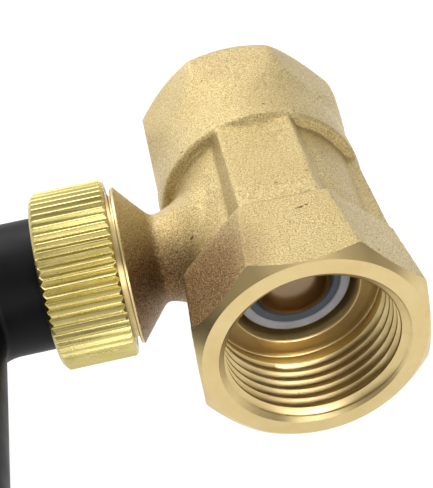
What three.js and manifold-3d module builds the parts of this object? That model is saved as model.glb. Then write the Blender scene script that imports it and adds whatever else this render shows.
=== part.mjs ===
// Water pressure regulator: brass angle body, piston valve train, swivel nut and outlet elbow.
// Millimetres. Y is the barrel axis (inlet face at y = 0, adjuster at +Y), +Z is up, the outlet
// branch leaves along -X. Helper lathes are turned about Y; branch pieces are then laid along -X.
import * as THREE from 'three';
import { mergeVertices } from 'three/addons/utils/BufferGeometryUtils.js';
import Module from 'manifold-3d';

const wasm = await Module();
wasm.setup();

// ---- driving sizes -------------------------------------------------------------------------
const ROUND = 32;                 // facets on the large turned surfaces
const MEDIUM = 28;                // facets on the pieces inside the bore
const SMALL = 20;                 // facets on the small ones
const FRONT_AF = 31.5;            // inlet octagon across the top and bottom flats
const REAR_AF = 33.0;             // rear octagon across flats
const FRONT_LEN = 14.6;           // inlet octagon length
const STEP_Y = 35.3;              // step from the relieved middle to the round rear barrel
const REAR_OCT_Y = 47.6;          // start of the rear octagon
const BODY_LEN = 59.0;
const MID_R0 = 13.7;              // relieved middle of the barrel, behind the inlet octagon
const MID_R1 = 14.6;              // and in front of the step
const BARREL_R = 16.3;            // round barrel behind the step
const BRANCH_Y = 27.0;            // outlet branch axis
const NECK_R = 6.7;
const RIM_R = 12.0;               // turned rim behind the outlet thread
const RIM_X = 23.2;               // outer face of the rim, measured out along the branch
const SPIGOT_X = 28.4;            // end face of the outlet spigot
const PIPE_PITCH = 1.814;         // 3/4 inch pipe thread, 14 turns to the inch
const NUT_PITCH = 1.5;            // 24 mm coupling thread
const BORE_R = 11.7;              // piston bore
const THROAT_R = 9.3;             // throat in front of the valve seat
const SHOULDER_Y = 12.8;          // washer shoulder in the inlet
const NUT_X0 = 24.0;              // nut, inner end along the branch
const NUT_X1 = 35.2;              // nut, outer end
const NUT_R = 13.65;
const NUT_TEETH = 64;
const ELBOW_R = 10.1;             // outside of the black elbow
const ELBOW_BORE = 7.0;
const LEG_X = 52.2;               // axis of the elbow leg along the branch
const LEG_END = -21.0;            // end of the plain leg
const VENT_Y = 44.6;              // breather hole of the spring chamber

const shadeOf = {
  forged: [0xd9c58c, 0.55, 0.9], turned: [0xd6c58e, 0.3, 1.0], nut: [0xd9cf7c, 0.22, 1.0],
  rubber: [0x7d8084, 0.8, 0.0], black: [0x161616, 0.45, 0.0], seal: [0x1d1d1d, 0.8, 0.0],
  steel: [0xb9bcc0, 0.25, 1.0], acetal: [0xe6e2d6, 0.5, 0.0], bronze: [0xa9773f, 0.8, 0.7],
};

// ---- solid helpers -------------------------------------------------------------------------
function solid(geometry) {
  const g = geometry.clone();
  g.deleteAttribute('normal');
  g.deleteAttribute('uv');
  const m = mergeVertices(g, 1e-4);
  const p = m.attributes.position.array;
  const src = m.index.array;
  const tris = [];
  let volume = 0;
  for (let i = 0; i < src.length; i += 3) {
    const [a, b, c] = [src[i], src[i + 1], src[i + 2]];
    if (a === b || b === c || a === c) continue;
    tris.push(a, b, c);
    const [ax, ay, az] = [p[3 * a], p[3 * a + 1], p[3 * a + 2]];
    const [bx, by, bz] = [p[3 * b], p[3 * b + 1], p[3 * b + 2]];
    const [cx, cy, cz] = [p[3 * c], p[3 * c + 1], p[3 * c + 2]];
    volume += ax * (by * cz - bz * cy) - ay * (bx * cz - bz * cx) + az * (bx * cy - by * cx);
  }
  if (volume < 0) {
    for (let i = 0; i < tris.length; i += 3) [tris[i], tris[i + 1]] = [tris[i + 1], tris[i]];
  }
  return new wasm.Manifold(new wasm.Mesh({
    numProp: 3, vertProperties: new Float32Array(p), triVerts: new Uint32Array(tris),
  }));
}

function lathe(profile, facets = ROUND) {
  const pts = profile.map(([r, y]) => new THREE.Vector2(Math.max(r, 0), y));
  return new THREE.LatheGeometry(pts, facets);
}

const turned = (profile, facets) => solid(lathe(profile, facets));

function ring(r0, r1, y0, y1, facets = ROUND, c = 0) {
  const loop = c > 0
    ? [[r0, y0], [r1 - c, y0], [r1, y0 + c], [r1, y1 - c], [r1 - c, y1], [r0, y1], [r0, y0]]
    : [[r0, y0], [r1, y0], [r1, y1], [r0, y1], [r0, y0]];
  return turned(loop, facets);
}

function rod(r, y0, y1, facets = SMALL, c = 0) {
  const loop = c > 0
    ? [[0, y0], [r - c, y0], [r, y0 + c], [r, y1 - c], [r - c, y1], [0, y1]]
    : [[0, y0], [r, y0], [r, y1], [0, y1]];
  return turned(loop, facets);
}

// Polygon in the X-Z plane carried along Y.
function prism(points, y0, y1) {
  const shape = new THREE.Shape(points.map(([x, z]) => new THREE.Vector2(x, -z)));
  const g = new THREE.ExtrudeGeometry(shape, { depth: y1 - y0, bevelEnabled: false, steps: 1 });
  g.rotateX(-Math.PI / 2);
  g.translate(0, y0, 0);
  return solid(g);
}

// Ruled solid between two outlines with the same number of points, both in X-Z planes.
function loft(low, y0, high, y1) {
  const n = low.length;
  const pos = [...low.flatMap(([x, z]) => [x, y0, z]), ...high.flatMap(([x, z]) => [x, y1, z])];
  const index = [];
  for (let k = 1; k < n - 1; k += 1) index.push(0, k, k + 1, n, n + k + 1, n + k);
  for (let k = 0; k < n; k += 1) {
    const b = (k + 1) % n;
    index.push(k, k + n, b, b, k + n, b + n);
  }
  const g = new THREE.BufferGeometry();
  g.setAttribute('position', new THREE.Float32BufferAttribute(pos, 3));
  g.setIndex(index);
  return solid(g);
}

// Eight-sided outline from the half widths of its upright and flat sides.
const octagon = (side, half, top, topHalf) => [[side, -half], [side, half], [topHalf, top],
  [-topHalf, top], [-side, half], [-side, -half], [-topHalf, -top], [topHalf, -top]];

// Outline of the flat pads above and below, with sloping sides.
const pad = (right, left, top, base) => [[right, -top], [right + 1.4, -base], [right + 1.4, base],
  [right, top], [-left, top], [-left - 1.4, base], [-left - 1.4, -base], [-left, -top]];

function regular(sides, acrossFlats, turn = 0) {
  const r = acrossFlats / 2 / Math.cos(Math.PI / sides);
  return Array.from({ length: sides }, (_, i) => {
    const a = turn + Math.PI / sides + (2 * Math.PI * i) / sides;
    return [r * Math.cos(a), r * Math.sin(a)];
  });
}

function block(x0, x1, y0, y1, z0, z1) {
  const g = new THREE.BoxGeometry(x1 - x0, y1 - y0, z1 - z0);
  g.translate((x0 + x1) / 2, (y0 + y1) / 2, (z0 + z1) / 2);
  return solid(g);
}

function torus(rc, r, y, facets = MEDIUM, sides = 8) {
  const loop = [];
  for (let i = 0; i <= sides; i += 1) {
    const a = (2 * Math.PI * (i % sides)) / sides;
    loop.push([rc + r * Math.cos(a), y + r * Math.sin(a)]);
  }
  return turned(loop, facets);
}

// Right-hand helical ridge or groove filler about Y, wide at the base radius, narrow at the tip.
// Its centre line is y = ref + pitch * angle / turn, so two pieces with one ref stay in mesh.
function helix({ base, tip, wBase, wTip, pitch, y0, y1, ref = 0, per = 18, fade0 = 0, fade1 = 0 }) {
  const n = Math.round(((y1 - y0) / pitch) * per);
  const pos = [];
  for (let i = 0; i <= n; i += 1) {
    const y = y0 + ((y1 - y0) * i) / n;
    const a = (2 * Math.PI * (y - ref)) / pitch;
    const k = Math.min(1, fade0 ? 0.05 + i / fade0 : 1, fade1 ? 0.05 + (n - i) / fade1 : 1);
    const rt = base + (tip - base) * k;
    const wt = (wBase + (wTip - wBase) * k) / 2;
    for (const [r, dy] of [[base, -wBase / 2], [rt, -wt], [rt, wt], [base, wBase / 2]]) {
      pos.push(r * Math.sin(a), y + dy, r * Math.cos(a));
    }
  }
  const index = [0, 1, 2, 0, 2, 3];
  for (let i = 0; i < n; i += 1) {
    for (let k = 0; k < 4; k += 1) {
      const [a, b] = [4 * i + k, 4 * i + ((k + 1) % 4)];
      index.push(a, a + 4, b, b, a + 4, b + 4);
    }
  }
  const e = 4 * n;
  index.push(e, e + 2, e + 1, e, e + 3, e + 2);
  const g = new THREE.BufferGeometry();
  g.setAttribute('position', new THREE.Float32BufferAttribute(pos, 3));
  g.setIndex(index);
  return solid(g);
}

function geometryOf(m) {
  const mesh = m.getMesh();
  const g = new THREE.BufferGeometry();
  const p = new Float32Array(mesh.numVert * 3);
  for (let i = 0; i < mesh.numVert; i += 1) {
    for (let k = 0; k < 3; k += 1) p[3 * i + k] = mesh.vertProperties[i * mesh.numProp + k];
  }
  g.setAttribute('position', new THREE.BufferAttribute(p, 3));
  g.setIndex(new THREE.BufferAttribute(new Uint32Array(mesh.triVerts), 1));
  return g;
}

// Lay a solid turned about Y along the branch (its +Y becomes -X).
function alongBranch(m) {
  const g = geometryOf(m);
  g.rotateZ(Math.PI / 2);
  g.translate(0, BRANCH_Y, 0);
  return solid(g);
}

function moved(m, x, y, z) {
  const g = geometryOf(m);
  g.translate(x, y, z);
  return solid(g);
}

const all = (list) => list.reduce((a, b) => a.add(b));

const group = new THREE.Group();
group.name = 'water_pressure_regulator';
function place(name, m, look) {
  const [color, roughness, metalness] = shadeOf[look];
  const g = geometryOf(m);
  g.computeVertexNormals();
  const mesh = new THREE.Mesh(g, new THREE.MeshStandardMaterial({ color, roughness, metalness }));
  mesh.name = name;
  group.add(mesh);
}

// ---- body ----------------------------------------------------------------------------------
function bodyOutside() {
  const top = FRONT_AF / 2;
  const front = loft(octagon(15.9, 7.1, top, 7.6), 0, octagon(15.2, 6.3, top, 6.1), FRONT_LEN)
    .intersect(turned([[0, 0], [15.55, 0], [17.5, 1.9], [17.5, FRONT_LEN - 0.9],
      [16.5, FRONT_LEN], [0, FRONT_LEN]]));
  const middle = turned([[0, 9], [MID_R0, 9], [MID_R0, FRONT_LEN], [MID_R1, STEP_Y],
    [MID_R1, STEP_Y + 2], [0, STEP_Y + 2]]);
  const pads = loft(pad(5.3, 5.9, 15.4, 12), 10, pad(5.6, 5.6, 15.1, 12.3), STEP_Y + 2);
  const sidePad = loft([[15.4, -4.6], [15.4, 4.6], [12, 6.2], [0, 6.2], [0, -6.2], [12, -6.2]], 10,
    [[15.4, -4.6], [15.4, 4.6], [12, 6.2], [0, 6.2], [0, -6.2], [12, -6.2]], STEP_Y + 2);
  const barrel = turned([[0, STEP_Y], [BARREL_R - 0.7, STEP_Y], [BARREL_R, STEP_Y + 0.7],
    [BARREL_R, REAR_OCT_Y + 3], [0, REAR_OCT_Y + 3]]);
  const rear = prism(regular(8, REAR_AF), REAR_OCT_Y, BODY_LEN).intersect(turned([
    [0, REAR_OCT_Y], [16.3, REAR_OCT_Y], [17.8, REAR_OCT_Y + 1.2], [17.8, BODY_LEN - 2.0],
    [15.9, BODY_LEN], [0, BODY_LEN]]));
  const branch = alongBranch(turned([[0, 6], [10.2, 6], [10.2, 12.2], [8.2, 13.9], [7.0, 15.7],
    [NECK_R, 17.4], [NECK_R, 19.1], [7.2, 19.6], [11.6, RIM_X - 0.6], [RIM_R, RIM_X - 0.5],
    [RIM_R, RIM_X - 0.2], [RIM_R - 0.2, RIM_X], [10.95, RIM_X], [10.95, SPIGOT_X - 0.5],
    [10.5, SPIGOT_X], [0, SPIGOT_X]]));
  const thread = alongBranch(helix({ base: 10.8, tip: 11.85, wBase: 1.15, wTip: 0.2,
    pitch: NUT_PITCH, y0: RIM_X + 0.65, y1: SPIGOT_X - 0.65, fade0: 3, fade1: 3, per: 14 }));
  return all([front, middle, pads, sidePad, barrel, rear, branch, thread]);
}

function bodyInside() {
  const barrel = turned([[0, -1], [14.3, -1], [13.3, 0], [12.1, 1.2], [12.1, 10.9], [12.6, 11.2],
    [12.6, 12.3], [12.05, SHOULDER_Y], [THROAT_R + 0.3, SHOULDER_Y], [THROAT_R, SHOULDER_Y + 0.3],
    [THROAT_R, 19.6], [7.3, 19.6], [6.8, 18.9], [6.1, 18.9], [5.3, 19.7], [5.3, 22.0],
    [9.6, 23.4], [9.6, 33.2], [BORE_R, 33.2], [BORE_R, 50.6], [12.5, 51.4], [12.5, 58.4],
    [14.1, 60.0], [0, 60.0]]);
  const groove = helix({ base: 11.85, tip: 13.25, wBase: 1.62, wTip: 0.3, pitch: PIPE_PITCH,
    y0: -1.3, y1: 10.6, fade1: 3, per: 12 });
  const outlet = alongBranch(turned([[0, 4], [5.0, 4], [5.0, 22.4], [7.5, 24.2],
    [7.5, SPIGOT_X - 0.4], [8.1, SPIGOT_X + 0.4], [0, SPIGOT_X + 0.4]], SMALL));
  const vent = moved(solid(lathe([[0, -20], [1.6, -20], [1.6, -11], [0, -11]], 20)
    .rotateX(Math.PI / 2)), 0, VENT_Y, 0);
  return all([barrel, groove, outlet, vent]);
}

// ---- valve train ---------------------------------------------------------------------------
const hexNut = (af, hole, y0, y1, c = 0.6) => prism(regular(6, af), y0, y1)
  .intersect(rod(af / 2 / Math.cos(Math.PI / 6) - 0.05, y0, y1, SMALL, c))
  .subtract(rod(hole, y0 - 1, y1 + 1, SMALL));

const valveDisc = () => turned([[2.4, 15.2], [6.0, 15.2], [7.2, 14.3], [8.3, 14.3], [8.6, 14.6],
  [8.6, 16.7], [8.3, 17.0], [2.4, 17.0], [2.4, 15.2]], MEDIUM);

const discNut = () => turned([[0, 12.6], [1.6, 12.7], [3.1, 13.1], [4.4, 13.8], [5.1, 14.5],
  [5.2, 14.9], [2.3, 14.9], [2.3, 13.9], [0, 13.9]], SMALL);

const valveStem = () => turned([[0, 14.2], [1.7, 14.2], [2.0, 14.5], [2.0, 18.3], [3.2, 18.3],
  [3.2, 20.0], [2.6, 20.8], [2.6, 32.3], [2.0, 32.5], [2.0, 41.9], [1.6, 42.3], [0, 42.3]], SMALL);

const piston = () => turned([[2.9, 32.9], [5.2, 32.9], [5.8, 33.5], [10.9, 33.5], [11.4, 34.1],
  [11.4, 35.2], [9.8, 35.2], [9.8, 37.5], [11.4, 37.5], [11.4, 38.4], [10.75, 38.4],
  [10.75, 40.1], [11.4, 40.1], [11.4, 41.2], [11.1, 41.5], [9.2, 41.5], [9.0, 41.3], [9.0, 37.9],
  [2.35, 37.9], [2.35, 33.3], [2.9, 32.9]], MEDIUM);

function spring(rc, wire, y0, y1, turns, closed, per = 16, sides = 6) {
  const n = Math.round(turns * per);
  const frames = [];
  for (let i = 0; i <= n; i += 1) {
    const t = (turns * i) / n;
    const a = 2 * Math.PI * t;
    const low = Math.min(t, closed);
    const high = Math.max(0, t - (turns - closed));
    const mid = t - low - high;
    const dead = 2 * wire * 1.06;
    const rise = (y1 - y0 - 2 * closed * dead) / (turns - 2 * closed);
    frames.push([a, y0 + (low + high) * dead + mid * rise]);
  }
  const pos = [];
  for (const [a, y] of frames) {
    for (let k = 0; k < sides; k += 1) {
      const b = (2 * Math.PI * k) / sides;
      const r = rc + wire * Math.cos(b);
      pos.push(r * Math.sin(a), y + wire * Math.sin(b), r * Math.cos(a));
    }
  }
  const index = [];
  for (let k = 1; k < sides - 1; k += 1) {
    index.push(0, k, k + 1);
    const e = sides * n;
    index.push(e, e + k + 1, e + k);
  }
  for (let i = 0; i < n; i += 1) {
    for (let k = 0; k < sides; k += 1) {
      const [a, b] = [sides * i + k, sides * i + ((k + 1) % sides)];
      index.push(a, a + sides, b, b, a + sides, b + sides);
    }
  }
  const g = new THREE.BufferGeometry();
  g.setAttribute('position', new THREE.Float32BufferAttribute(pos, 3));
  g.setIndex(index);
  return solid(g);
}

// ---- adjuster ------------------------------------------------------------------------------
const springButton = () => turned([[0, 51.0], [5.6, 51.0], [6.2, 51.6], [6.2, 53.5], [8.9, 53.5],
  [9.2, 53.8], [9.2, 55.3], [8.9, 55.6], [3.4, 55.6], [0, 54.0]], MEDIUM);

function rearCap() {
  const plug = turned([[0, 52.4], [11.8, 52.4], [12.2, 52.8], [12.2, 53.6], [10.7, 53.6],
    [10.7, 55.7], [12.2, 55.7], [12.2, 58.4], [11.8, 58.8], [0, 58.8]], MEDIUM);
  const boss = prism(regular(6, 19), 58, 61.4).intersect(rod(10.85, 58, 61.4, MEDIUM, 0.6));
  return plug.add(boss).subtract(rod(4.2, 50, 63, SMALL)).subtract(rod(9.7, 50, 56.6, MEDIUM));
}

function adjustingScrew() {
  const shank = turned([[0, 54.4], [1.5, 55.0], [3.3, 55.9], [3.9, 56.5], [3.9, 68.6],
    [3.3, 69.2], [0, 69.2]], SMALL);
  return shank.subtract(block(-5, 5, 67.5, 70, -0.65, 0.65));
}

const ventFilter = () => moved(solid(
  lathe([[0, -15.2], [1.3, -15.2], [1.3, -13.0], [0, -13.0]], 20).rotateX(Math.PI / 2)), 0, VENT_Y, 0);

// ---- outlet --------------------------------------------------------------------------------
function couplingNut() {
  const teeth = [];
  for (let i = 0; i < NUT_TEETH; i += 1) {
    const a = (2 * Math.PI * i) / NUT_TEETH;
    const b = a + Math.PI / NUT_TEETH;
    teeth.push([NUT_R * Math.cos(a), NUT_R * Math.sin(a)]);
    teeth.push([(NUT_R - 0.5) * Math.cos(b), (NUT_R - 0.5) * Math.sin(b)]);
  }
  const outside = prism(teeth, NUT_X0, NUT_X1).intersect(turned([[0, NUT_X0], [12.6, NUT_X0],
    [NUT_R + 0.05, NUT_X0 + 1.2], [NUT_R + 0.05, NUT_X1 - 0.7], [13.0, NUT_X1], [0, NUT_X1]]));
  const inside = turned([[0, NUT_X0 - 1], [12.3, NUT_X0 - 1], [12.3, NUT_X0 + 0.1], [11.2, NUT_X0 + 1.0],
    [11.2, 30.8], [12.1, 31.1], [12.1, 33.9], [10.45, 33.9], [10.45, NUT_X1 + 1], [0, NUT_X1 + 1]]);
  const groove = helix({ base: 11.05, tip: 12.1, wBase: 1.38, wTip: 0.45, pitch: NUT_PITCH,
    y0: NUT_X0 - 0.9, y1: 30.95, per: 24 });
  return alongBranch(outside.subtract(inside).subtract(groove));
}

// Round bar carried round a quarter bend from the branch direction to the leg direction.
function bend(r, radius, steps, facets) {
  const pos = [];
  const centre = [-(LEG_X - radius), BRANCH_Y - radius];
  for (let i = 0; i <= steps; i += 1) {
    const a = Math.PI / 2 + (Math.PI / 2) * (i / steps);
    const [c, s] = [Math.cos(a), Math.sin(a)];
    for (let k = 0; k < facets; k += 1) {
      const b = (2 * Math.PI * k) / facets;
      const d = radius + r * Math.cos(b);
      pos.push(centre[0] + d * c, centre[1] + d * s, r * Math.sin(b));
    }
  }
  const index = [];
  for (let k = 1; k < facets - 1; k += 1) {
    const e = facets * steps;
    index.push(0, k, k + 1, e, e + k + 1, e + k);
  }
  for (let i = 0; i < steps; i += 1) {
    for (let k = 0; k < facets; k += 1) {
      const [a, b] = [facets * i + k, facets * i + ((k + 1) % facets)];
      index.push(a, a + facets, b, b, a + facets, b + facets);
    }
  }
  const g = new THREE.BufferGeometry();
  g.setAttribute('position', new THREE.Float32BufferAttribute(pos, 3));
  g.setIndex(index);
  return solid(g);
}

function outletElbow() {
  const radius = 10.9;
  const tail = alongBranch(turned([[0, 31.0], [11.0, 31.0], [11.0, 33.0], [ELBOW_R, 33.0],
    [ELBOW_R, LEG_X - radius + 0.05], [0, LEG_X - radius + 0.05]], MEDIUM));
  const corner = bend(ELBOW_R, radius, 7, MEDIUM);
  const leg = moved(turned([[0, LEG_END - 12.5], [11.5, LEG_END - 12.5], [11.95, LEG_END - 12.0],
    [11.95, LEG_END - 2.6], [13.4, LEG_END - 2.6], [13.8, LEG_END - 2.2], [13.8, LEG_END - 0.6],
    [13.2, LEG_END], [11.3, LEG_END], [ELBOW_R, LEG_END + 1.4],
    [ELBOW_R, BRANCH_Y - radius + 0.05], [0, BRANCH_Y - radius + 0.05]], MEDIUM), -LEG_X, 0, 0);
  const thread = moved(helix({ base: 11.8, tip: 13.15, wBase: 1.35, wTip: 0.3, pitch: PIPE_PITCH,
    y0: LEG_END - 11.5, y1: LEG_END - 3.4, fade0: 5, fade1: 5 }), -LEG_X, 0, 0);
  const bore = all([
    alongBranch(rod(ELBOW_BORE, 30, LEG_X - radius + 0.05, SMALL)),
    bend(ELBOW_BORE, radius, 6, SMALL),
    moved(rod(ELBOW_BORE, LEG_END - 13, BRANCH_Y - radius + 0.05, SMALL), -LEG_X, 0, 0)]);
  return all([tail, corner, leg, thread]).subtract(bore);
}

// ---- assembly ------------------------------------------------------------------------------
place('body', bodyOutside().subtract(bodyInside()), 'forged');
place('vent_filter', ventFilter(), 'bronze');
place('valve_disc', valveDisc(), 'rubber');
place('disc_nut', discNut(), 'steel');
place('disc_backing_washer', ring(2.4, 4.9, 17.2, 18.0, SMALL), 'steel');
place('valve_stem', valveStem(), 'steel');
place('piston', piston(), 'turned');
place('piston_o_ring', torus(10.75, 0.8, 36.35), 'seal');
place('piston_guide_ring', ring(10.95, 11.55, 38.55, 39.95, MEDIUM), 'acetal');
place('stem_washer', ring(2.4, 5.0, 38.1, 38.8, SMALL), 'steel');
place('stem_nut', hexNut(7, 2.3, 39.0, 41.6), 'steel');
place('regulating_spring', spring(7.75, 0.95, 39.2, 52.2, 4, 0.75), 'steel');
place('spring_button', springButton(), 'turned');
place('rear_cap', rearCap(), 'turned');
place('cap_o_ring', torus(11.6, 0.75, 54.65), 'seal');
place('adjusting_screw', adjustingScrew(), 'steel');
place('lock_washer', ring(4.3, 7.8, 61.7, 62.6, SMALL), 'steel');
place('lock_nut', hexNut(13, 4.2, 62.8, 66.8), 'turned');
place('outlet_washer', alongBranch(ring(7.4, 10.8, 28.7, 30.7, MEDIUM)), 'seal');
place('outlet_elbow', outletElbow(), 'black');
place('nut_glide_ring', alongBranch(ring(10.45, 11.85, 33.2, 33.65, MEDIUM)), 'acetal');
place('coupling_nut', couplingNut(), 'nut');

export default group;
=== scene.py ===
"""Water pressure regulator: the finished look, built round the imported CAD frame.

Shapes are worked out in millimetres in the row frame (+Y along the barrel, -X along the outlet
branch, +Z up) and scaled to metres as they are stored.
"""
import math

import bmesh
import bpy
from mathutils import Matrix, Vector, noise


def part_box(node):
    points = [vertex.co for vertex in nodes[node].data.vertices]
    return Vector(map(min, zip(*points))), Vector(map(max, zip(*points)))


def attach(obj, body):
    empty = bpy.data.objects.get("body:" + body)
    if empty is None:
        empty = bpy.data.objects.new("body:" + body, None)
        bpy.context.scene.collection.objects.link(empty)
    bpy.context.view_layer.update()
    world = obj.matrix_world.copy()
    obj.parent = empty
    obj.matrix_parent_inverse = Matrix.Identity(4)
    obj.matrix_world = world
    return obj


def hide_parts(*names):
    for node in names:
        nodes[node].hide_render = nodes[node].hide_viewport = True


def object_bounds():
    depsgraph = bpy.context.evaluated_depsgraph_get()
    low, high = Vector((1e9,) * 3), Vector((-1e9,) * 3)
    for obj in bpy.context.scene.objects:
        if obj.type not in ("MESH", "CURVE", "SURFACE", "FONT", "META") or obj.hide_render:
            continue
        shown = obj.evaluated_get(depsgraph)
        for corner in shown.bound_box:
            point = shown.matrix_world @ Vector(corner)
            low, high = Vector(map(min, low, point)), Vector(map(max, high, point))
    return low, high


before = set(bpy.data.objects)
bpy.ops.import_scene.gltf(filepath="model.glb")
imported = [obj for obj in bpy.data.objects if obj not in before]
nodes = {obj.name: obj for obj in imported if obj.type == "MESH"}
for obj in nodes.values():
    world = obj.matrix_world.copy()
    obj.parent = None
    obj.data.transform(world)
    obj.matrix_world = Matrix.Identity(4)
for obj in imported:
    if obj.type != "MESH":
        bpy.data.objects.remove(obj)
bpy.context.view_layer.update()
MM = 0.001


def limits(node):
    """Lowest and highest corner of a CAD node, in millimetres."""
    low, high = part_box(node)
    return [v / MM for v in low], [v / MM for v in high]


# ---- driving sizes, millimetres ----------------------------------------------------------------
body_low, body_high = limits("body")
nut_low, nut_high = limits("coupling_nut")
leg_low, leg_high = limits("outlet_elbow")
BODY_LEN = body_high[1]
BRANCH_Y = (nut_low[1] + nut_high[1]) / 2
SPIGOT_X = -body_low[0]
NUT_X0, NUT_X1 = -nut_high[0], -nut_low[0]
NUT_R = nut_high[2]
ELBOW_X0 = -leg_high[0]
ELBOW_R = 10.1
ELBOW_BEND = 10.9
LEG_X = 52.2
LEG_END = -21.0
LEG_TIP = leg_low[1]
FRONT_TOP = 15.75
FRONT_LEN = 14.6
STEP_Y = 35.3
REAR_OCT_Y = 47.6
REAR_AF = 33.2
MID_R0, MID_R1 = 13.7, 14.6
BARREL_R = 16.35
RIM_X = 23.2
PIPE_PITCH = 1.814
NUT_PITCH = 1.5
SCREW_PITCH = 1.25
FACE_R = 15.55
CHAMFER_R, CHAMFER_Y = 17.6, 1.95
FACE_CUT_Y = 2.6
REAR_CUT_Y = BODY_LEN - 0.35
INLET_R = 12.08
GROOVE_R = 13.22
CHAMBER_R = 11.7
VENT_R = 1.6
BOSS_AF, LOCK_NUT_AF = 19, 13
CAP_R, CAP_Y0, CAP_Y1 = 12.2, 52.4, 58.8
BOSS_Y1 = 61.4
SCREW_HOLE_R, SHANK_R, SCREW_Y1 = 4.2, 3.3, 69.2
WASHER_Y0, WASHER_Y1 = 61.7, 62.6
LOCK_NUT_Y0, LOCK_NUT_Y1 = 62.8, 66.8
SHOULDER_Y = 12.8
THROAT_R = 9.3
VENT_Y = 44.6
VOXEL = 0.27
MELT_ROUNDS = 50
SWELL_SIZE, SWELL_HEIGHT = 4.5, 0.05
PIT_SIZE, PIT_HEIGHT = 0.8, 0.035


# ---- camera ------------------------------------------------------------------------------------
AZIMUTH, ELEVATION, ROLL = 3.55, 37.96, -10.01
CAMERA_ACROSS, CAMERA_UP, CAMERA_BACK = -13.42, 14.42, 146.57
SENSOR_WIDTH, LENS = 36.0, 91.1


def add_camera():
    """Looks down into the inlet from above, 38 degrees down and turned 10 degrees."""
    azimuth, elevation, roll = (math.radians(v) for v in (AZIMUTH, ELEVATION, ROLL))
    forward = Vector((math.sin(azimuth) * math.cos(elevation),
                      math.cos(azimuth) * math.cos(elevation), -math.sin(elevation)))
    right = forward.cross(Vector((0, 0, 1))).normalized()
    up = right.cross(forward)
    across = math.cos(roll) * right + math.sin(roll) * up
    upward = -math.sin(roll) * right + math.cos(roll) * up
    place = (CAMERA_ACROSS * across + CAMERA_UP * upward - CAMERA_BACK * forward) * MM
    data = bpy.data.cameras.new("camera")
    data.sensor_fit = "HORIZONTAL"
    data.sensor_width = SENSOR_WIDTH
    data.lens = LENS
    data.clip_start = 0.005
    data.dof.use_dof = False
    camera = bpy.data.objects.new("camera", data)
    turn = Matrix((across, upward, -forward)).transposed().to_4x4()
    camera.matrix_world = Matrix.Translation(place) @ turn
    bpy.context.scene.collection.objects.link(camera)
    bpy.context.scene.camera = camera


add_camera()


# ---- mesh helpers ------------------------------------------------------------------------------
def build(points, faces):
    """A mesh from points and faces, with its faces pointing out."""
    mesh = bpy.data.meshes.new("shape")
    mesh.from_pydata([tuple(p) for p in points], [], faces)
    bm = bmesh.new()
    bm.from_mesh(mesh)
    bmesh.ops.recalc_face_normals(bm, faces=bm.faces)
    bm.to_mesh(mesh)
    bm.free()
    return mesh


def soften(profile, radius, steps=4, loop=False):
    """The same outline with every corner turned into a small arc."""
    count = len(profile)
    result = []
    for i, (r, y) in enumerate(profile):
        if not loop and i in (0, count - 1):
            result.append((r, y))
            continue
        here = Vector((r, y))
        back = Vector(profile[i - 1]) - here
        on = Vector(profile[(i + 1) % count]) - here
        reach = min(radius, back.length * 0.45, on.length * 0.45)
        a, b = here + back.normalized() * reach, here + on.normalized() * reach
        for k in range(steps + 1):
            t = k / steps
            p = a * (1 - t) ** 2 + here * (2 * t * (1 - t)) + b * t ** 2
            result.append((p.x, p.y))
    return result


def lathe(profile, segments=128, loop=False):
    """Turns (radius, height) points about Y. An open profile starts and ends on the axis."""
    points, rings = [], []
    for r, y in profile:
        if r < 1e-6:
            rings.append([len(points)])
            points.append((0, y, 0))
            continue
        first = len(points)
        for k in range(segments):
            a = 2 * math.pi * k / segments
            points.append((r * math.sin(a), y, r * math.cos(a)))
        rings.append(list(range(first, first + segments)))
    faces = []
    pairs = list(zip(rings, rings[1:])) + ([(rings[-1], rings[0])] if loop else [])
    for low, high in pairs:
        for k in range(segments):
            j = (k + 1) % segments
            if len(low) == 1:
                faces.append((low[0], high[j], high[k]))
            elif len(high) == 1:
                faces.append((low[k], low[j], high[0]))
            else:
                faces.append((low[k], low[j], high[j], high[k]))
    return build(points, faces)


def loft(low, y0, high, y1):
    """Straight-sided solid between two outlines in X-Z planes."""
    count = len(low)
    points = [(x, y0, z) for x, z in low] + [(x, y1, z) for x, z in high]
    faces = [tuple(range(count)), tuple(range(2 * count - 1, count - 1, -1))]
    faces += [(k, (k + 1) % count, count + (k + 1) % count, count + k) for k in range(count)]
    return build(points, faces)


def block(x0, x1, z0, z1, y0, y1):
    corners = [(x0, z0), (x1, z0), (x1, z1), (x0, z1)]
    return loft(corners, y0, corners, y1)


def sweep(sections):
    """Closed solid through a list of rings that have the same number of points."""
    count = len(sections[0])
    points = [p for section in sections for p in section]
    faces = [tuple(range(count)), tuple(len(points) - 1 - k for k in range(count))]
    for i in range(len(sections) - 1):
        for k in range(count):
            j = (k + 1) % count
            faces.append((i * count + k, i * count + j, (i + 1) * count + j, (i + 1) * count + k))
    return build(points, faces)


def helix(base, tip, wide, narrow, pitch, y0, y1, per=72, fade=(0, 0)):
    """Right-hand thread form about Y with rounded tips, as a ridge from base to tip radius."""
    count = round((y1 - y0) / pitch * per)
    sections = []
    for i in range(count + 1):
        y = y0 + (y1 - y0) * i / count
        angle = 2 * math.pi * y / pitch
        grow = 1.0
        if fade[0]:
            grow = min(grow, 0.04 + i / (fade[0] * per))
        if fade[1]:
            grow = min(grow, 0.04 + (count - i) / (fade[1] * per))
        top = base + (tip - base) * grow
        half = (wide + (narrow - wide) * grow) / 2
        shape = [(base, -wide / 2), (top - 0.16 * grow, -half - 0.08 * grow), (top, -half * 0.45),
                 (top, half * 0.45), (top - 0.16 * grow, half + 0.08 * grow), (base, wide / 2)]
        sections.append([(r * math.sin(angle), y + dy, r * math.cos(angle)) for r, dy in shape])
    return sweep(sections)


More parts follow.
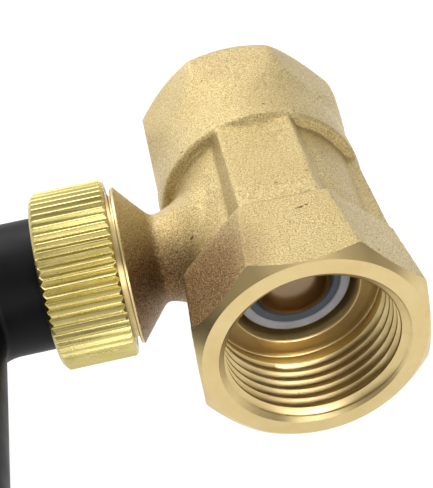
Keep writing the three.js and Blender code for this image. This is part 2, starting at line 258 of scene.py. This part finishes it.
def along_branch(mesh):
    """Lays a shape turned about Y along the branch: its +Y becomes -X."""
    mesh.transform(Matrix.Translation((0, BRANCH_Y, 0)) @ Matrix.Rotation(math.pi / 2, 4, "Z"))
    return mesh


def on_leg(mesh):
    """Moves a shape turned about Y onto the leg of the elbow."""
    mesh.transform(Matrix.Translation((-LEG_X, 0, 0)))
    return mesh


def carrier(mesh):
    item = bpy.data.objects.new("work", mesh)
    bpy.context.scene.collection.objects.link(item)
    return item


def settled(item):
    """The mesh of an object with its modifiers applied; the object goes."""
    graph = bpy.context.evaluated_depsgraph_get()
    mesh = bpy.data.meshes.new_from_object(item.evaluated_get(graph))
    bpy.data.objects.remove(item)
    return mesh


def combine(mesh, other, operation):
    """Joins or cuts two closed meshes. Both are used up."""
    item, tool = carrier(mesh), carrier(other)
    cut = item.modifiers.new("cut", "BOOLEAN")
    cut.operation = operation
    cut.solver = "MANIFOLD"
    cut.object = tool
    result = settled(item)
    bpy.data.objects.remove(tool)
    return result


def union(*meshes):
    result = meshes[0]
    for mesh in meshes[1:]:
        result = combine(result, mesh, "UNION")
    return result


def minus(mesh, *tools):
    for tool in tools:
        mesh = combine(mesh, tool, "DIFFERENCE")
    return mesh


def both(mesh, other):
    return combine(mesh, other, "INTERSECT")


def finished(name, mesh, body, material, nodes_replaced, sharp=32.0):
    """Stores a piece in metres, on its body, in place of its CAD nodes."""
    mesh.transform(Matrix.Scale(MM, 4))
    mesh.name = name
    mesh.shade_smooth()
    mesh.set_sharp_from_angle(angle=math.radians(sharp))
    item = bpy.data.objects.new(name, mesh)
    bpy.context.scene.collection.objects.link(item)
    if material is not None:
        mesh.materials.clear()
        mesh.materials.append(material)
    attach(item, body)
    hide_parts(*nodes_replaced)
    return item


# ---- materials ---------------------------------------------------------------------------------
MIX_A, MIX_B, MIX_RESULT = 6, 7, 2  # the colour sockets of a Mix node


class Look:
    """One procedural material, in object coordinates (metres)."""

    def __init__(self, name):
        self.material = bpy.data.materials.new(name)
        self.material.use_nodes = True
        self.tree = self.material.node_tree
        self.shader = self.tree.nodes["Principled BSDF"]
        self.place = self.tree.nodes.new("ShaderNodeTexCoord").outputs["Object"]

    def link(self, a, b):
        self.tree.links.new(a, b)

    def node(self, kind, **settings):
        made = self.tree.nodes.new(kind)
        for key, value in settings.items():
            setattr(made, key, value)
        return made

    def noise(self, size_mm, detail=3.0, rough=0.6, stretch=(1, 1, 1)):
        spread = self.node("ShaderNodeMapping")
        spread.inputs["Scale"].default_value = tuple(v / (size_mm * MM) for v in stretch)
        self.link(self.place, spread.inputs["Vector"])
        made = self.node("ShaderNodeTexNoise")
        made.inputs["Scale"].default_value = 1.0
        made.inputs["Detail"].default_value = detail
        made.inputs["Roughness"].default_value = rough
        self.link(spread.outputs["Vector"], made.inputs["Vector"])
        return made.outputs["Fac"]

    def near(self, spot_mm, full_mm, none_mm):
        """1 close to a point on the part, falling to 0 further off."""
        gap = self.node("ShaderNodeVectorMath", operation="DISTANCE")
        gap.inputs[1].default_value = tuple(v * MM for v in spot_mm)
        self.link(self.place, gap.inputs[0])
        return self.level(gap.outputs["Value"], 1.0, 0.0, full_mm * MM, none_mm * MM)

    def ramp(self, value, stops):
        made = self.node("ShaderNodeValToRGB")
        while len(made.color_ramp.elements) < len(stops):
            made.color_ramp.elements.new(0.5)
        for element, (place, color) in zip(made.color_ramp.elements, stops):
            element.position = place
            element.color = (*color, 1.0)
        self.link(value, made.inputs["Fac"])
        return made.outputs["Color"]

    def level(self, value, low, high, start=0.3, stop=0.7):
        made = self.node("ShaderNodeMapRange")
        made.inputs["From Min"].default_value = start
        made.inputs["From Max"].default_value = stop
        made.inputs["To Min"].default_value = low
        made.inputs["To Max"].default_value = high
        self.link(value, made.inputs["Value"])
        return made.outputs["Result"]

    def mix(self, amount, first, second):
        """The first colour, turning to the second as amount goes from 0 to 1."""
        made = self.node("ShaderNodeMix", data_type="RGBA")
        self.link(amount, made.inputs["Factor"])
        for socket, value in ((made.inputs[MIX_A], first), (made.inputs[MIX_B], second)):
            if isinstance(value, bpy.types.NodeSocket):
                self.link(value, socket)
            else:
                socket.default_value = (*value, 1.0)
        return made.outputs[MIX_RESULT]

    def bump(self, height, depth_mm, strength=1.0, below=None):
        made = self.node("ShaderNodeBump")
        made.inputs["Strength"].default_value = strength
        made.inputs["Distance"].default_value = depth_mm * MM
        self.link(height, made.inputs["Height"])
        if below is not None:
            self.link(below, made.inputs["Normal"])
        return made.outputs["Normal"]

    def finish(self, color, roughness, normal=None, metal=0.0):
        self.shader.inputs["Metallic"].default_value = metal
        for key, value in (("Base Color", color), ("Roughness", roughness), ("Normal", normal)):
            if value is None:
                continue
            if isinstance(value, bpy.types.NodeSocket):
                self.link(value, self.shader.inputs[key])
            else:
                self.shader.inputs[key].default_value = value
        return self.material


# Painted shade: the casting is darkened round the hollow between the branch and the front octagon,
# where shade falls. Each spot gives the centre, the radius of full effect and the radius where it ends.
PAINTED_SHADE_SPOTS = (((-15.0, 5.5, 9.0), 7.5, 14.0), ((-22.5, 17.5, -1.0), 7.0, 14.0))


def cast_brass():
    """Shot-blasted casting: pale gold, with a pitted grain a quarter of a millimetre across; painted
    shade by the branch.
    """
    look = Look("cast_brass")
    grain = look.noise(0.25, 4.0, 0.7)
    fine = look.noise(0.12, 2.0, 0.6)
    cloud = look.noise(9.0, 3.0, 0.55)
    color = look.ramp(grain, [(0.30, (0.17, 0.10, 0.035)), (0.47, (0.50, 0.39, 0.18)),
                              (0.68, (0.78, 0.67, 0.38))])
    color = look.mix(look.level(cloud, 0.0, 0.4), color, (0.40, 0.28, 0.11))
    # Painted shade: a darker copy of the grain colours, laid round the hollow by the branch.
    painted_shade = look.ramp(grain, [(0.36, (0.05, 0.022, 0.008)), (0.68, (0.46, 0.29, 0.13))])
    for spot, full, none in PAINTED_SHADE_SPOTS:
        color = look.mix(look.near(spot, full, none), color, painted_shade)
    specks = look.noise(1.5, 1.0, 0.5)
    color = look.mix(look.level(specks, 0.0, 0.8, 0.765, 0.785), color, (0.10, 0.05, 0.02))
    normal = look.bump(fine, 0.05, 0.6, look.bump(grain, 0.17, 1.0))
    return look.finish(color, look.level(grain, 0.46, 0.31), normal, 1.0)


def turned_brass():
    """Lathe-cut brass with fine circular marks round Y."""
    look = Look("turned_brass")
    marks = look.noise(0.16, 2.0, 0.5, (0.25, 1.0, 0.25))
    cloud = look.noise(5.0, 3.0, 0.6)
    spots = look.noise(0.9, 5.0, 0.7)
    color = look.mix(look.level(cloud, 0.0, 0.6), (0.68, 0.54, 0.27), (0.58, 0.43, 0.19))
    color = look.mix(look.level(spots, 0.0, 0.75, 0.66, 0.74), color, (0.33, 0.20, 0.07))
    normal = look.bump(marks, 0.02, 0.35)
    return look.finish(color, look.level(cloud, 0.30, 0.42), normal, 1.0)


def knurled_brass():
    """Bright, slightly green brass of the swivel nut."""
    look = Look("knurled_brass")
    drag = look.noise(0.25, 3.0, 0.6, (0.08, 1.0, 1.0))
    cloud = look.noise(4.0, 3.0, 0.6)
    color = look.mix(look.level(cloud, 0.0, 0.7), (0.57, 0.49, 0.20), (0.50, 0.41, 0.14))
    normal = look.bump(drag, 0.02, 0.4)
    return look.finish(color, look.level(drag, 0.22, 0.34), normal, 1.0)


def steel(name, color, rough):
    look = Look(name)
    marks = look.noise(0.2, 3.0, 0.6, (1.0, 0.3, 1.0))
    shade = look.mix(look.level(marks, 0.0, 0.5), color, tuple(v * 0.82 for v in color))
    return look.finish(shade, look.level(marks, rough, rough + 0.12), look.bump(marks, 0.01, 0.3), 1.0)


def rubber(name, color, rough=0.62):
    look = Look(name)
    grain = look.noise(0.22, 4.0, 0.65)
    cloud = look.noise(3.0, 3.0, 0.5)
    shade = look.mix(look.level(cloud, 0.0, 1.0), color, tuple(v * 0.78 for v in color))
    return look.finish(shade, look.level(grain, rough, rough + 0.15), look.bump(grain, 0.02, 0.5))


def black_plastic():
    """Satin moulded black with a very fine texture and faint rubbed patches."""
    look = Look("black_plastic")
    grain = look.noise(0.18, 3.0, 0.6)
    cloud = look.noise(7.0, 4.0, 0.6)
    shade = look.mix(look.level(cloud, 0.0, 1.0), (0.003, 0.003, 0.0035), (0.006, 0.006, 0.0065))
    rough = look.level(cloud, 0.36, 0.50)
    look.shader.inputs["Specular IOR Level"].default_value = 0.10
    return look.finish(shade, rough, look.bump(grain, 0.015, 0.5))


CAST = cast_brass()
TURNED = turned_brass()
KNURLED = knurled_brass()
STEEL = steel("turned_steel", (0.60, 0.60, 0.61), 0.24)
# Painted reflection and shade: the plated dome gets a dark brown colour standing in for the brass bore it
# reflects and the shade inside the inlet.
DOME_PAINTED_REFLECTION_AND_SHADE = steel("plated_dome_painted_reflection_and_shade", (0.24, 0.165, 0.10), 0.14)
GREY = rubber("grey_rubber", (0.36, 0.37, 0.39))
# Painted shade: a darker copy of the grey rubber, for the recessed middle of the valve disc.
GREY_PAINTED_SHADE = rubber("grey_rubber_painted_shade", (0.075, 0.09, 0.11))
SEAL = rubber("black_rubber", (0.02, 0.02, 0.02), 0.5)
BLACK = black_plastic()
ACETAL = rubber("white_plastic", (0.78, 0.76, 0.70), 0.35)
BRONZE = steel("sintered_bronze", (0.50, 0.30, 0.13), 0.55)


# ---- body --------------------------------------------------------------------------------------
def octagon(side, half, top, top_half):
    return [(side, -half), (side, half), (top_half, top), (-top_half, top), (-side, half),
            (-side, -half), (-top_half, -top), (top_half, -top)]


def pad(right, left, top, base):
    """Outline of the flat pads above and below, with sloping sides."""
    return [(right, -top), (right + 1.4, -base), (right + 1.4, base), (right, top), (-left, top),
            (-left - 1.4, base), (-left - 1.4, -base), (-left, -top)]


def regular(sides, across_flats):
    r = across_flats / 2 / math.cos(math.pi / sides)
    turns = [math.pi * (2 * k + 1) / sides for k in range(sides)]
    return [(r * math.cos(a), r * math.sin(a)) for a in turns]


def melt(mesh):
    """Rounds the rear octagon and the root of the branch more than the rest of the casting."""
    count = len(mesh.vertices)
    here = [v.co.copy() for v in mesh.vertices]
    share = []
    for p in here:
        rear = (p.y - 41.0) / 5.0
        root = 1.0 - abs(math.hypot(p.y - BRANCH_Y, p.z) - 9.0) / 3.5 if -17.5 < p.x < -8 else 0.0
        share.append(min(1.0, max(0.0, rear, root)))
    edges = [tuple(e.vertices) for e in mesh.edges if share[e.vertices[0]] + share[e.vertices[1]] > 0]
    for _ in range(MELT_ROUNDS):
        total = [Vector() for _ in range(count)]
        ties = [0] * count
        for a, b in edges:
            total[a] += here[b]
            total[b] += here[a]
            ties[a] += 1
            ties[b] += 1
        for i in range(count):
            if share[i] > 0 and ties[i]:
                here[i] += (total[i] / ties[i] - here[i]) * 0.5 * share[i]
    for vertex, place in zip(mesh.vertices, here):
        vertex.co = place
    mesh.update()


def blanks():
    """The blanks of the casting, joined and still sharp-edged."""
    front = loft(octagon(16.0, 7.15, FRONT_TOP, 7.7), -0.8, octagon(15.2, 6.3, FRONT_TOP, 6.1), FRONT_LEN)
    relief = lathe([(0, -2), (19, -2), (19, FRONT_LEN - 1.1), (16.2, FRONT_LEN), (0, FRONT_LEN)])
    front = both(front, relief)
    middle = lathe([(0, 9), (MID_R0, 9), (MID_R0, FRONT_LEN), (MID_R1, STEP_Y), (MID_R1, STEP_Y + 2),
                    (0, STEP_Y + 2)])
    pads = loft(pad(5.3, 5.9, 15.4, 12), 10, pad(5.6, 5.6, 15.1, 12.3), STEP_Y + 2)
    side = [(15.4, -4.6), (15.4, 4.6), (12, 6.2), (0, 6.2), (0, -6.2), (12, -6.2)]
    side_pad = loft(side, 10, side, STEP_Y + 2)
    barrel = lathe([(0, STEP_Y), (BARREL_R - 0.55, STEP_Y), (BARREL_R, STEP_Y + 0.5),
                    (BARREL_R, REAR_OCT_Y + 3), (0, REAR_OCT_Y + 3)])
    flats = regular(8, REAR_AF)
    rear = both(loft(flats, REAR_OCT_Y - 3, flats, BODY_LEN),
                lathe([(0, 40), (16.4, REAR_OCT_Y - 2.5), (18.0, REAR_OCT_Y + 5.0),
                       (18.0, BODY_LEN - 3.2), (15.4, BODY_LEN), (0, BODY_LEN)]))
    branch = along_branch(lathe([(0, 6), (10.4, 6), (10.4, 11.0), (9.2, 12.6), (8.0, 14.2), (7.2, 15.8),
                                 (6.8, 17.2), (6.75, 18.0), (7.3, 18.7), (11.8, RIM_X - 0.65),
                                 (12.15, RIM_X - 0.5), (12.15, RIM_X + 0.5), (0, RIM_X + 0.5)]))
    return union(front, middle, pads, side_pad, barrel, rear, branch)


def roughened(mesh):
    """Gives the surface the slow swell and the small pits of a sand casting."""
    count = len(mesh.vertices)
    normals = [0.0] * (3 * count)
    mesh.vertex_normals.foreach_get("vector", normals)
    seed = Vector((31.0, 17.0, 5.0))
    moved = []
    for i, vertex in enumerate(mesh.vertices):
        swell = noise.noise(vertex.co / SWELL_SIZE + seed) * SWELL_HEIGHT
        pits = noise.noise(vertex.co / PIT_SIZE - seed) * PIT_HEIGHT
        moved.extend(vertex.co + Vector(normals[3 * i:3 * i + 3]) * (swell + pits))
    mesh.vertices.foreach_set("co", moved)
    mesh.update()
    return mesh


def raw_casting():
    """The casting before machining: the joined blanks, remeshed and rubbed soft like a sand cast."""
    item = carrier(blanks())
    remesh = item.modifiers.new("remesh", "REMESH")
    remesh.mode = "VOXEL"
    remesh.voxel_size = VOXEL
    smooth = item.modifiers.new("smooth", "SMOOTH")
    smooth.factor = 0.5
    smooth.iterations = 6
    mesh = settled(item)
    melt(mesh)
    return roughened(mesh)


def machined_outside(mesh):
    """The turned face and its chamfer, the rear face, and the branch rim."""
    envelope = lathe([(0, 0), (FACE_R, 0), (CHAMFER_R, CHAMFER_Y), (21.0, FACE_CUT_Y),
                      (21.0, REAR_CUT_Y), (0, REAR_CUT_Y)], 192)
    reach = block(-30, 30, -30, 30, FACE_CUT_Y, BODY_LEN - 2.0)
    mesh = both(mesh, union(envelope, reach))
    collar = along_branch(lathe([(0, 15), (13.5, 15), (13.5, RIM_X - 0.6), (12.0, RIM_X - 0.4),
                                 (12.0, RIM_X - 0.12), (11.85, RIM_X), (0, RIM_X)], 160))
    barrel = block(-16, 30, -25, 25, -5, BODY_LEN + 5)
    return both(mesh, union(collar, barrel))


def bore_tool():
    """Everything that is bored or cut inside: inlet, chambers, outlet and vent, as one solid."""
    inner = lathe(soften([(0, -1), (14.3, -1), (13.3, 0), (INLET_R, 1.2), (INLET_R, 10.9), (12.6, 11.2),
                          (12.6, 12.6), (12.4, SHOULDER_Y), (THROAT_R + 0.3, SHOULDER_Y),
                          (THROAT_R, SHOULDER_Y + 0.3), (THROAT_R, 19.6), (7.3, 19.6), (6.8, 18.9),
                          (6.1, 18.9), (5.3, 19.7), (5.3, 22.0), (9.6, 23.4), (9.6, 33.2),
                          (CHAMBER_R, 33.2), (CHAMBER_R, 50.6), (12.5, 51.4), (12.5, 58.4), (14.1, 60.0),
                          (0, 60.0)], 0.12, 3), 192)
    groove = helix(11.85, GROOVE_R, 1.62, 0.34, PIPE_PITCH, -1.3, 10.6, 96, (0, 0.4))
    outlet = along_branch(lathe([(0, 4), (5.0, 4), (5.0, 22.4), (7.5, 24.2), (7.5, SPIGOT_X - 0.4),
                                 (8.1, SPIGOT_X + 0.4), (0, SPIGOT_X + 0.4)], 96))
    vent = lathe([(0, 11), (VENT_R, 11), (VENT_R, 20), (0, 20)], 48)
    vent.transform(Matrix.Translation((0, VENT_Y, 0)) @ Matrix.Rotation(-math.pi / 2, 4, "X"))
    return union(inner, groove, outlet, vent)


def spigot():
    """The threaded end of the branch."""
    core = along_branch(lathe(soften([(0, 22.2), (10.9, 22.2), (10.9, SPIGOT_X - 0.5), (10.5, SPIGOT_X),
                                      (0, SPIGOT_X)], 0.1, 2), 160))
    thread = along_branch(helix(10.75, 11.85, 1.15, 0.2, NUT_PITCH, RIM_X + 0.65, SPIGOT_X - 0.65,
                                96, (0.25, 0.25)))
    return union(core, thread)


def is_machined(center, normal):
    """Whether a face was cut on the lathe, from where it lies and which way it faces."""
    radius = math.hypot(center.x, center.z)
    bored = radius < GROOVE_R + 0.18
    faced = center.y < 0.02 or center.y > REAR_CUT_Y - 0.02
    if bored or faced or center.x < -(RIM_X - 0.45):
        return True
    cone = radius - FACE_R - center.y * (CHAMFER_R - FACE_R) / CHAMFER_Y
    return center.y < FACE_CUT_Y and abs(cone) < 0.03 and normal.y < -0.3


def make_body():
    mesh = machined_outside(raw_casting())
    mesh = minus(union(mesh, spigot()), bore_tool())
    mesh.materials.clear()
    mesh.materials.append(CAST)
    mesh.materials.append(TURNED)
    for face in mesh.polygons:
        face.material_index = 1 if is_machined(face.center, face.normal) else 0
    finished("body_casting", mesh, "housing", None, ["body"], 38.0)


# ---- nut, elbow and washer ---------------------------------------------------------------------
def make_nut():
    """The knurled swivel nut, with its thread inside."""
    teeth = 64
    depth = 0.5
    ring = []
    for k in range(teeth):
        step = 2 * math.pi / teeth
        for offset, r in ((-0.10, -0.03), (0.0, 0.0), (0.10, -0.03), (0.42, -depth * 0.9),
                          (0.5, -depth), (0.58, -depth * 0.9)):
            a = (k + offset) * step
            ring.append(((NUT_R + r) * math.cos(a), (NUT_R + r) * math.sin(a)))
    outside = loft(ring, NUT_X0, ring, NUT_X1)
    outside = both(outside, lathe(soften([
        (0, NUT_X0), (13.2, NUT_X0), (NUT_R + 0.05, NUT_X0 + 0.5), (NUT_R + 0.05, NUT_X1 - 0.75),
        (12.9, NUT_X1), (0, NUT_X1)], 0.15, 3), 192))
    inside = lathe([(0, NUT_X0 - 1), (12.3, NUT_X0 - 1), (12.3, NUT_X0 + 0.1), (11.2, NUT_X0 + 1.0),
                    (11.2, 30.8), (12.1, 31.1), (12.1, 33.9), (10.45, 33.9), (10.45, NUT_X1 - 0.3),
                    (10.75, NUT_X1), (10.75, NUT_X1 + 1), (0, NUT_X1 + 1)], 160)
    groove = helix(11.05, 12.1, 1.38, 0.45, NUT_PITCH, NUT_X0 - 0.9, 30.95, 96)
    mesh = along_branch(minus(outside, inside, groove))
    finished("coupling_nut_knurled", mesh, "swivel_nut", KNURLED, ["coupling_nut"],
             20.0)


def elbow_path(radius, start, stop):
    """Rings of a round bar: out along the branch, round the bend, and forward along the leg."""
    segments = 96
    bend_steps = 40
    spots = [((-start, BRANCH_Y), math.pi / 2)]
    center = (-(LEG_X - ELBOW_BEND), BRANCH_Y - ELBOW_BEND)
    for i in range(bend_steps + 1):
        a = math.pi / 2 + math.pi / 2 * i / bend_steps
        spots.append(((center[0] + ELBOW_BEND * math.cos(a), center[1] + ELBOW_BEND * math.sin(a)), a))
    spots.append(((-LEG_X, stop), math.pi))
    sections = []
    for (x, y), a in spots:
        ring = []
        for k in range(segments):
            b = 2 * math.pi * k / segments
            d = radius * math.cos(b)
            ring.append((x + d * math.cos(a), y + d * math.sin(a), radius * math.sin(b)))
        sections.append(ring)
    return sweep(sections)


def make_elbow():
    bar = elbow_path(ELBOW_R, ELBOW_X0 + 0.5, LEG_END + 0.5)
    collar = along_branch(lathe(soften([(0, ELBOW_X0), (11.0, ELBOW_X0), (11.0, ELBOW_X0 + 2.0),
                                        (ELBOW_R - 0.2, ELBOW_X0 + 2.0), (0, ELBOW_X0 + 2.0)], 0.2), 160))
    tip = on_leg(lathe(soften([
        (0, LEG_TIP), (11.5, LEG_TIP), (11.95, LEG_TIP + 0.5), (11.95, LEG_END - 2.6),
        (13.4, LEG_END - 2.6), (13.8, LEG_END - 2.2), (13.8, LEG_END - 0.6), (13.2, LEG_END),
        (11.3, LEG_END), (ELBOW_R, LEG_END + 1.4), (ELBOW_R - 0.4, LEG_END + 1.6),
        (0, LEG_END + 1.6)], 0.25), 160))
    thread = on_leg(helix(11.75, 13.15, 1.35, 0.3, PIPE_PITCH, LEG_TIP + 1.0, LEG_END - 3.4, 96,
                          (0.3, 0.3)))
    mesh = minus(union(bar, collar, tip, thread), elbow_path(7.0, ELBOW_X0 - 2, LEG_TIP - 2))
    finished("outlet_elbow_moulding", mesh, "elbow", BLACK, ["outlet_elbow"], 35.0)


# ---- what shows inside the inlet ---------------------------------------------------------------
def make_valve_disc():
    """The rubber ring, with painted shade on its recessed middle."""
    disc = lathe(soften([(2.4, 15.3), (6.0, 15.3), (6.2, 14.75), (7.0, 14.75), (7.25, 14.3), (8.3, 14.3),
                         (8.6, 14.6), (8.6, 16.7), (8.3, 17.0), (2.4, 17.0)], 0.22, 4, True), 128, True)
    disc.materials.append(GREY)
    disc.materials.append(GREY_PAINTED_SHADE)
    # Painted shade: faces inside the recess take the darker copy of the grey rubber.
    for face in disc.polygons:
        face.material_index = 1 if math.hypot(face.center.x, face.center.z) < 7.12 else 0
    finished("valve_disc_seal", disc, "valve_train", None, ["valve_disc"])


def make_disc_nut():
    """The domed nut in the middle of the disc; its dark brown is a painted reflection of the brass bore
    and painted shade.
    """
    dome = []
    for k in range(15):
        a = math.pi / 2 * k / 14
        dome.append((5.6 * math.sin(a), 14.6 - 2.0 * math.cos(a)))
    dome += [(5.8, 14.65), (5.8, 14.95), (2.3, 14.95), (2.3, 13.9), (0, 13.9)]
    finished("disc_nut_dome", lathe(dome, 96), "valve_train", DOME_PAINTED_REFLECTION_AND_SHADE, ["disc_nut"])


# ---- rear end ----------------------------------------------------------------------------------
def make_rear_cap():
    """The plug with its ring groove, hexagon boss, through hole and recess."""
    plug = lathe(soften([(0, CAP_Y0), (11.8, CAP_Y0), (CAP_R, 52.8), (CAP_R, 53.6), (10.7, 53.6),
                         (10.7, 55.7), (CAP_R, 55.7), (CAP_R, 58.4), (11.8, CAP_Y1), (0, CAP_Y1)],
                        0.15), 160)
    hexagon = regular(6, BOSS_AF)
    boss = both(loft(hexagon, 58, hexagon, BOSS_Y1),
                lathe([(0, 57), (10.9, 57), (10.9, 60.7), (9.6, BOSS_Y1), (0, BOSS_Y1)], 160))
    hole = lathe([(0, 50), (SCREW_HOLE_R, 50), (SCREW_HOLE_R, 61.0), (4.7, 61.5), (4.7, 63), (0, 63)], 96)
    recess = lathe([(0, 50), (9.7, 50), (9.7, 56.6), (0, 56.6)], 96)
    finished("rear_cap_turned", minus(union(plug, boss), hole, recess), "housing", TURNED,
             ["rear_cap"])


def make_adjusting_screw():
    """The threaded screw with its slot."""
    shank = lathe([(0, 54.4), (1.5, 55.0), (SHANK_R, 55.9), (SHANK_R, 68.9), (3.0, SCREW_Y1),
                   (0, SCREW_Y1)], 96)
    thread = helix(3.2, 3.93, 1.05, 0.2, SCREW_PITCH, 56.6, 68.4, 48, (0.5, 0.5))
    slot = block(-5, 5, -0.65, 0.65, 67.5, 70)
    finished("adjusting_screw_threaded", minus(union(shank, thread), slot), "adjuster", STEEL,
             ["adjusting_screw"])


def make_lock_washer():
    washer = lathe(soften([(4.3, WASHER_Y0), (7.8, WASHER_Y0), (7.8, WASHER_Y1), (4.3, WASHER_Y1)],
                          0.15, 3, True), 128, True)
    finished("lock_washer_stamped", washer, "lock_carrier", STEEL, ["lock_washer"])


def make_lock_nut():
    """The hexagon nut behind the washer, with its corners and its hole chamfered."""
    hexagon = regular(6, LOCK_NUT_AF)
    y0, y1 = LOCK_NUT_Y0, LOCK_NUT_Y1
    nut = both(loft(hexagon, y0, hexagon, y1),
               lathe([(0, y0), (6.5, y0), (7.5, 63.4), (7.5, 66.2), (6.5, y1), (0, y1)], 128))
    hole = lathe([(0, 60), (4.6, 60), (4.6, 62.9), (4.2, 63.3), (4.2, 66.3), (4.6, 66.7), (4.6, 69),
                  (0, 69)], 96)
    finished("lock_nut_hex", minus(nut, hole), "locknut", TURNED, ["lock_nut"])


make_body()
make_nut()
make_elbow()
make_valve_disc()
make_disc_nut()
make_rear_cap()
make_adjusting_screw()
make_lock_washer()
make_lock_nut()

# ---- CAD nodes that stay: their materials --------------------------------------------------------
CARRIED = {
    "vent_filter": BRONZE, "disc_backing_washer": STEEL, "valve_stem": STEEL, "piston": TURNED,
    "piston_o_ring": SEAL, "piston_guide_ring": ACETAL, "stem_washer": STEEL, "stem_nut": STEEL,
    "regulating_spring": STEEL, "spring_button": TURNED, "cap_o_ring": SEAL, "outlet_washer": SEAL,
    "nut_glide_ring": ACETAL,
}
for node, material in CARRIED.items():
    for place in nodes[node].material_slots:
        place.material = material


# ---- floor, world and lights -------------------------------------------------------------------
# In metres, unlike the shapes above.
FLOOR_HALF = 1.5
FLOOR_GAP = 0.0004
FLOOR_GLOW = 0.95
SKY_UP = (-0.15, 0.72, 0.62)
SKY_DARK, SKY_PALE = (0.24, 0.22, 0.19, 1.0), (1.0, 0.99, 0.97, 1.0)
KEY_WATTS, FRONT_WATTS = 2.2, 1.7


def add_floor():
    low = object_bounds()[0]
    half = FLOOR_HALF
    points = [(-half, -half, 0), (half, -half, 0), (half, half, 0), (-half, half, 0)]
    mesh = bpy.data.meshes.new("floor")
    mesh.from_pydata(points, [], [(0, 1, 2, 3)])
    floor = bpy.data.objects.new("floor", mesh)
    floor.location.z = low[2] - FLOOR_GAP
    bpy.context.scene.collection.objects.link(floor)
    look = Look("floor")
    speck = look.noise(40.0, 2.0, 0.5)
    look.shader.inputs["Emission Color"].default_value = (1.0, 1.0, 1.0, 1.0)
    look.shader.inputs["Emission Strength"].default_value = FLOOR_GLOW
    shade = look.mix(look.level(speck, 0.0, 1.0), (0.17, 0.17, 0.17), (0.15, 0.15, 0.15))
    mesh.materials.append(look.finish(shade, 0.9))


def add_light(name, place, target, size, power):
    data = bpy.data.lights.new(name, "AREA")
    data.shape = "RECTANGLE"
    data.size, data.size_y = size
    data.energy = power
    light = bpy.data.objects.new(name, data)
    aim = Vector(target) - Vector(place)
    light.matrix_world = Matrix.Translation(place) @ aim.to_track_quat("-Z", "Y").to_matrix().to_4x4()
    bpy.context.scene.collection.objects.link(light)


def add_world():
    """Soft surroundings, pale above and behind the part and dark in front of and below it."""
    world = bpy.data.worlds.new("studio")
    world.use_nodes = True
    tree = world.node_tree
    background = tree.nodes["Background"]
    place = tree.nodes.new("ShaderNodeTexCoord")
    split = tree.nodes.new("ShaderNodeVectorMath")
    split.operation = "DOT_PRODUCT"
    split.inputs[1].default_value = Vector(SKY_UP).normalized()
    tree.links.new(place.outputs["Generated"], split.inputs[0])
    ramp = tree.nodes.new("ShaderNodeValToRGB")
    ramp.color_ramp.elements[0].position = 0.0
    ramp.color_ramp.elements[0].color = SKY_DARK
    ramp.color_ramp.elements[1].position = 0.50
    ramp.color_ramp.elements[1].color = SKY_PALE
    tree.links.new(split.outputs["Value"], ramp.inputs["Fac"])
    tree.links.new(ramp.outputs["Color"], background.inputs["Color"])
    background.inputs["Strength"].default_value = 1.0
    bpy.context.scene.world = world
    bpy.context.scene.view_settings.view_transform = "Standard"


add_floor()
add_world()
add_light("key", (-0.16, 0.34, 0.42), (0, 0.03, 0), (0.4, 0.4), KEY_WATTS)
add_light("front", (0.10, -0.5, 0.20), (0, 0.01, 0), (0.3, 0.25), FRONT_WATTS)

bpy.context.view_layer.update()
